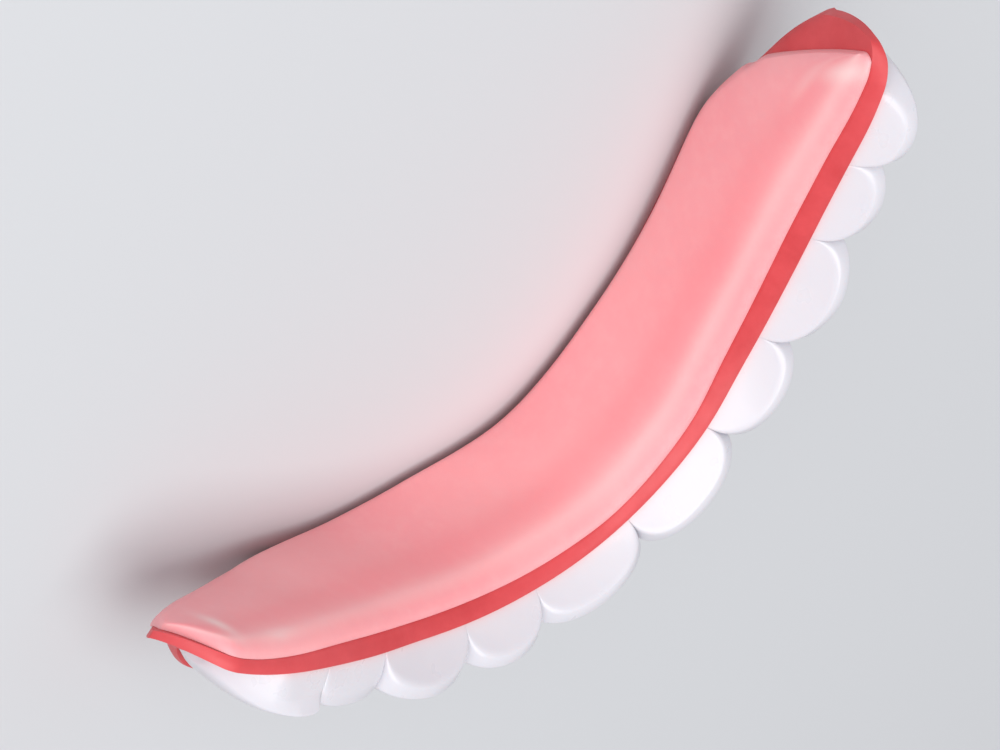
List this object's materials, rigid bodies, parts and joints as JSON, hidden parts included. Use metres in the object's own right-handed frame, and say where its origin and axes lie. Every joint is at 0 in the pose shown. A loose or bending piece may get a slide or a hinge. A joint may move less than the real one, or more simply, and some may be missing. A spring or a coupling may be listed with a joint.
{
  "type": "clip-on false teeth",
  "caption": "Curved clip-on upper row of false teeth: white crowns seated in a gum coloured tray whose rim shows behind them, with a soft pink fitting pad filling the back.",
  "frame": {"origin": "middle of the outline seen from above, in the plane of the gum edge that the row stands on", "axes": "+X across the arch towards the wearer's left side, +Y towards the front of the mouth, +Z from the gum edge to the incisal edges"},
  "size_m": [0.0536, 0.0292, 0.0132],
  "materials": {
    "gum_tray": "smooth red-pink moulded gum acrylic with a soft gloss",
    "fitting_pad": "soft pale pink fitting pad, pressed by hand and slightly cloudy, satin",
    "crown": "white glossy tooth acrylic, slightly translucent at the edges"
  },
  "bodies": {
    "root": {"gum_tray": "gum_tray", "fitting_pad": "fitting_pad", "second_premolar_right": "crown", "first_premolar_right": "crown", "canine_right": "crown", "lateral_incisor_right": "crown", "central_incisor_right": "crown", "central_incisor_left": "crown", "lateral_incisor_left": "crown", "canine_left": "crown", "first_premolar_left": "crown", "second_premolar_left": "crown"}
  },
  "joints": []
}
